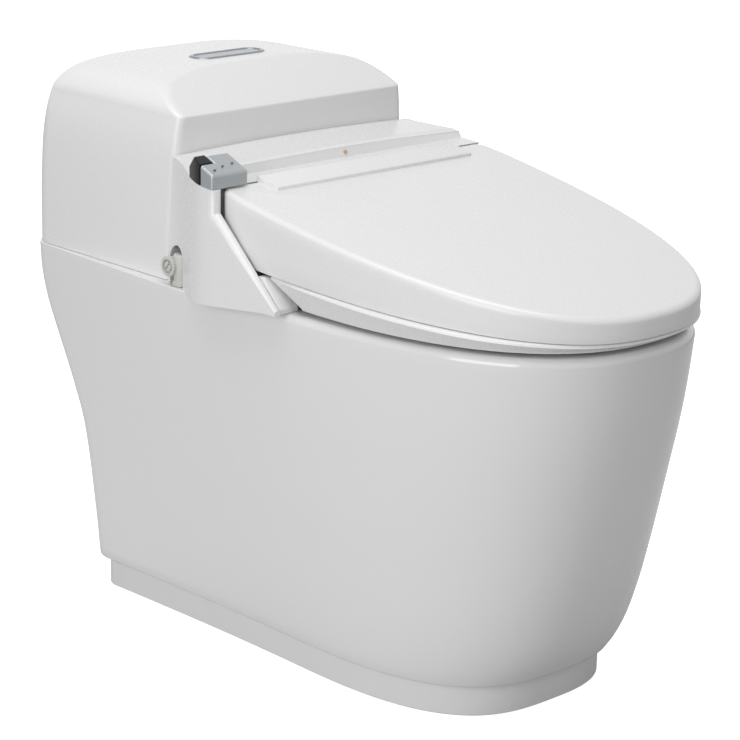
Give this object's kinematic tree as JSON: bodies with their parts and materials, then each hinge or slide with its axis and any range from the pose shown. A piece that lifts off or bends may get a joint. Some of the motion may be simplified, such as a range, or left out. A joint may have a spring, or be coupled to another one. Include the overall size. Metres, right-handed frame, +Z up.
{
  "type": "smart toilet",
  "caption": "Floor-standing smart toilet with a skirted ceramic bowl, cistern hood, washer unit, wash nozzles, hinged seat and lid.",
  "frame": {"origin": "middle of the footprint on the floor", "axes": "+Z up, -Y towards the nose of the bowl, -X towards the sitter's right hand"},
  "size_m": [0.39, 0.747, 0.5714],
  "materials": {
    "ceramic": "glossy white glaze",
    "plastic": "glossy white",
    "inner": "satin, hidden inside",
    "clear": "satin",
    "chrome": "polished, dark",
    "silver": "silver paint",
    "black": "glossy dark window",
    "rubber": "matte",
    "grey": "satin light grey",
    "amber": "clear amber",
    "green": "potted circuit board",
    "steel": "brushed",
    "dark": "satin",
    "lamp": "small unlit lamp"
  },
  "bodies": {
    "toilet": {"bowl_body": "ceramic", "bowl_shell": "ceramic", "trapway": "ceramic", "drain_leg": "ceramic", "flush_duct": "ceramic", "drain_seal": "rubber", "tank_hood": "plastic", "button_bezel": "chrome", "cistern": "inner", "flush_valve_body": "inner", "rocker_bridge": "inner", "fill_valve": "inner", "washer_casing": "plastic", "washer_base": "inner", "end_cover_left": "plastic", "end_cover_right": "plastic", "hinge_bar": "inner", "front_block": "inner", "nozzle_bay": "clear", "water_heater": "clear", "fan_housing": "dark", "control_board": "green", "water_valve": "grey", "control_panel": "silver", "sensor_window": "black", "lamp_power": "lamp", "lamp_seat": "lamp", "lamp_saver": "lamp", "night_lamp": "amber", "inlet_valve": "grey", "supply_stub": "steel"},
    "button": {"flush_button": "silver"},
    "rocker": {"flush_rocker": "grey"},
    "canister": {"flush_canister": "grey", "flush_valve_seal": "rubber"},
    "float": {"fill_float": "clear"},
    "fan": {"fan_wheel": "grey"},
    "rear_wand": {"rear_nozzle": "silver"},
    "front_wand": {"front_nozzle": "silver"},
    "plug": {"strainer_plug": "grey"},
    "seat": {"seat_ring": "plastic", "seat_foot_right": "rubber", "seat_foot_left": "rubber", "seat_foot_front_right": "rubber", "seat_foot_front_left": "rubber", "hinge_pin_right": "steel", "hinge_pin_left": "steel"},
    "lid": {"lid": "plastic", "lid_pad_right": "rubber", "lid_pad_left": "rubber"}
  },
  "joints": [
    {"name": "seat_hinge", "type": "hinge", "parent": "toilet", "child": "seat", "pos_m": [0, -0.0165, 0.456], "axis": [1, 0, 0], "range_deg": [-95, 0]},
    {"name": "lid_hinge", "type": "hinge", "parent": "seat", "child": "lid", "pos_m": [0, -0.0165, 0.456], "axis": [-1, 0, 0], "range_deg": [0, 100]},
    {"name": "flush_press", "type": "slide", "parent": "toilet", "child": "button", "axis": [0, 0, -1], "range_m": [0, 0.005], "stiffness_N_per_m": 400, "springref_m": -0.002},
    {"name": "rocker_turn", "type": "hinge", "parent": "toilet", "child": "rocker", "pos_m": [0, 0.2555, 0.536], "axis": [1, 0, 0], "range_deg": [0, 12.5]},
    {"name": "canister_lift", "type": "slide", "parent": "toilet", "child": "canister", "axis": [0, 0, 1], "range_m": [0, 0.0085]},
    {"name": "float_rise", "type": "slide", "parent": "toilet", "child": "float", "axis": [0, 0, 1], "range_m": [0, 0.044]},
    {"name": "fan_spin", "type": "hinge", "parent": "toilet", "child": "fan", "pos_m": [0.062, 0.08664, 0.39], "axis": [0, 0, 1], "continuous": true},
    {"name": "rear_wand_slide", "type": "slide", "parent": "toilet", "child": "rear_wand", "axis": [0, -0.9848, -0.1736], "range_m": [0, 0.095]},
    {"name": "front_wand_slide", "type": "slide", "parent": "toilet", "child": "front_wand", "axis": [0, -0.9848, -0.1736], "range_m": [0, 0.095]},
    {"name": "strainer_turn", "type": "hinge", "parent": "toilet", "child": "plug", "pos_m": [-0.17, 0.1175, 0.388], "axis": [-1, 0, 0], "range_deg": [0, 90]}
  ],
  "couplings": [
    {"joint": "rocker_turn", "follows": "flush_press", "rad_per_m": 41.667},
    {"joint": "canister_lift", "follows": "flush_press", "ratio": 1.5833}
  ]
}
